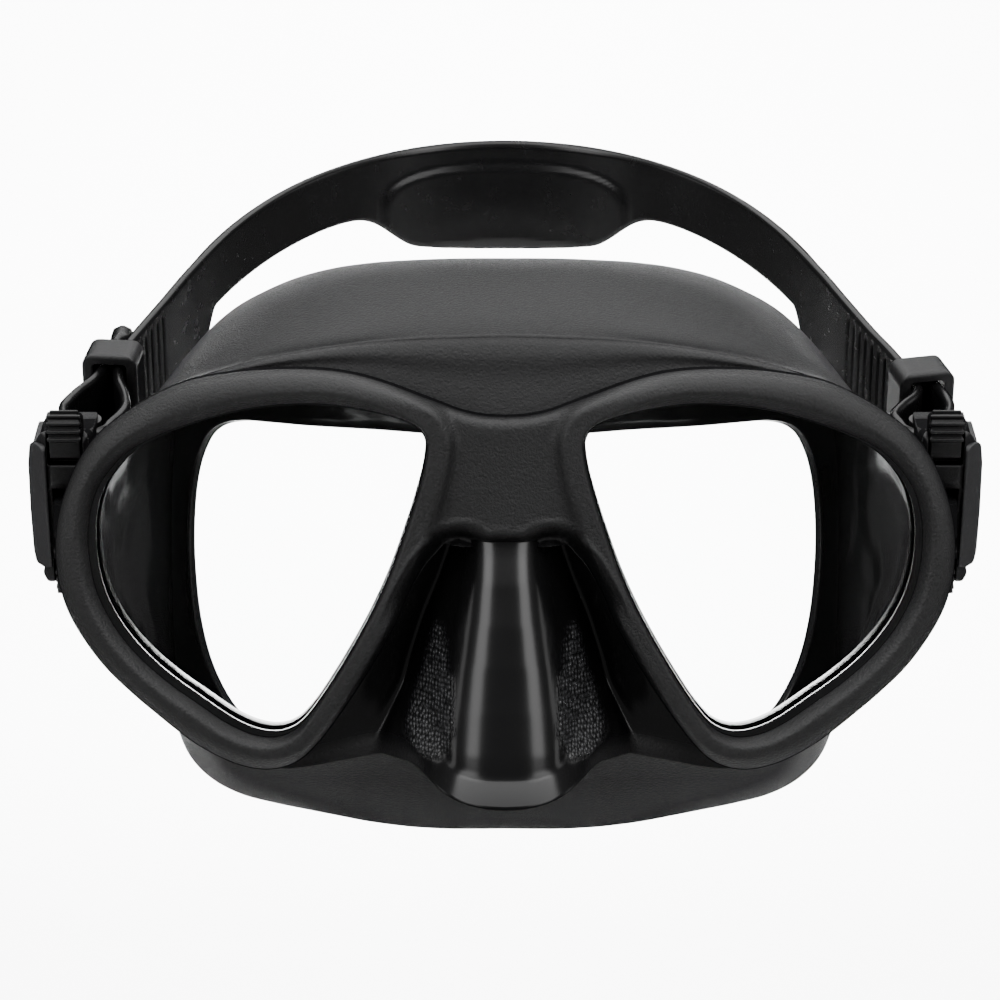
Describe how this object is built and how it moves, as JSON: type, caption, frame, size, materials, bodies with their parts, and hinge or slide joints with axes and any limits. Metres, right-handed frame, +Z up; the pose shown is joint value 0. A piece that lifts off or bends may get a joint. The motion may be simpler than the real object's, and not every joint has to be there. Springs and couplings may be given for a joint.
{
  "type": "diving mask",
  "caption": "Low-volume diving mask with two separate lenses in a rigid frame, a soft skirt with a nose pocket and a strap on swivelling squeeze buckles.",
  "frame": {"origin": "centre of the face plane, on the mask's centre line behind the bridge of the nose", "axes": "+X to the wearer's left, +Y back towards the wearer's head, +Z up; the lenses face -Y"},
  "size_m": [0.1782, 0.188, 0.1283],
  "materials": {
    "frame": "fine-grained matte black",
    "lens": "clear tempered glass",
    "retainer": "satin black",
    "skirt": "matte and gloss black silicone",
    "bracket": "satin black",
    "pin": "stainless steel",
    "buckle": "satin black",
    "cover": "satin black",
    "button": "satin black with finger ribs",
    "roller": "smooth black",
    "strap": "satin black silicone",
    "keeper": "satin black silicone"
  },
  "bodies": {
    "mask": {"frame": "frame", "lens_left": "lens", "lens_right": "lens", "lens_retainer_left": "retainer", "lens_retainer_right": "retainer", "skirt": "skirt", "swivel_bracket_left": "bracket", "swivel_bracket_right": "bracket", "swivel_pin_left": "pin", "swivel_pin_right": "pin"},
    "strap_and_buckles": {"strap": "strap", "buckle_body_left": "buckle", "buckle_body_right": "buckle", "buckle_cover_left": "cover", "buckle_cover_right": "cover", "roller_pin_left": "pin", "roller_pin_right": "pin"},
    "roller_l": {"roller_left": "roller"},
    "roller_r": {"roller_right": "roller"},
    "upper_button_l": {"upper_button_left": "button"},
    "upper_button_r": {"upper_button_right": "button"},
    "lower_button_l": {"lower_button_left": "button"},
    "lower_button_r": {"lower_button_right": "button"},
    "keeper_l": {"keeper_left": "keeper"},
    "keeper_r": {"keeper_right": "keeper"}
  },
  "joints": [
    {"name": "strap_swivel", "type": "hinge", "parent": "mask", "child": "strap_and_buckles", "pos_m": [0, -0.008, 0.0041], "axis": [1, 0, 0], "range_deg": [-26, 12]},
    {"name": "roller_spin_left", "type": "hinge", "parent": "strap_and_buckles", "child": "roller_l", "pos_m": [0.0784, 0.00266, 0.00841], "axis": [0, -0.3746, 0.9272], "continuous": true},
    {"name": "roller_spin_right", "type": "hinge", "parent": "strap_and_buckles", "child": "roller_r", "pos_m": [-0.0784, 0.00266, 0.00841], "axis": [0, -0.3746, 0.9272], "continuous": true},
    {"name": "upper_button_press_left", "type": "slide", "parent": "strap_and_buckles", "child": "upper_button_l", "axis": [0, 0.3746, -0.9272], "range_m": [0, 0.0012], "stiffness_N_per_m": 400},
    {"name": "upper_button_press_right", "type": "slide", "parent": "strap_and_buckles", "child": "upper_button_r", "axis": [0, 0.3746, -0.9272], "range_m": [0, 0.0012], "stiffness_N_per_m": 400},
    {"name": "lower_button_press_left", "type": "slide", "parent": "strap_and_buckles", "child": "lower_button_l", "axis": [0, -0.3746, 0.9272], "range_m": [0, 0.0012], "stiffness_N_per_m": 400},
    {"name": "lower_button_press_right", "type": "slide", "parent": "strap_and_buckles", "child": "lower_button_r", "axis": [0, -0.3746, 0.9272], "range_m": [0, 0.0012], "stiffness_N_per_m": 400},
    {"name": "keeper_slide_left", "type": "slide", "parent": "strap_and_buckles", "child": "keeper_l", "axis": [-0.225, 0.9034, 0.365], "range_m": [0, 0.004]},
    {"name": "keeper_slide_right", "type": "slide", "parent": "strap_and_buckles", "child": "keeper_r", "axis": [0.1045, 0.9221, 0.3726], "range_m": [-0.001, 0.003]}
  ]
}
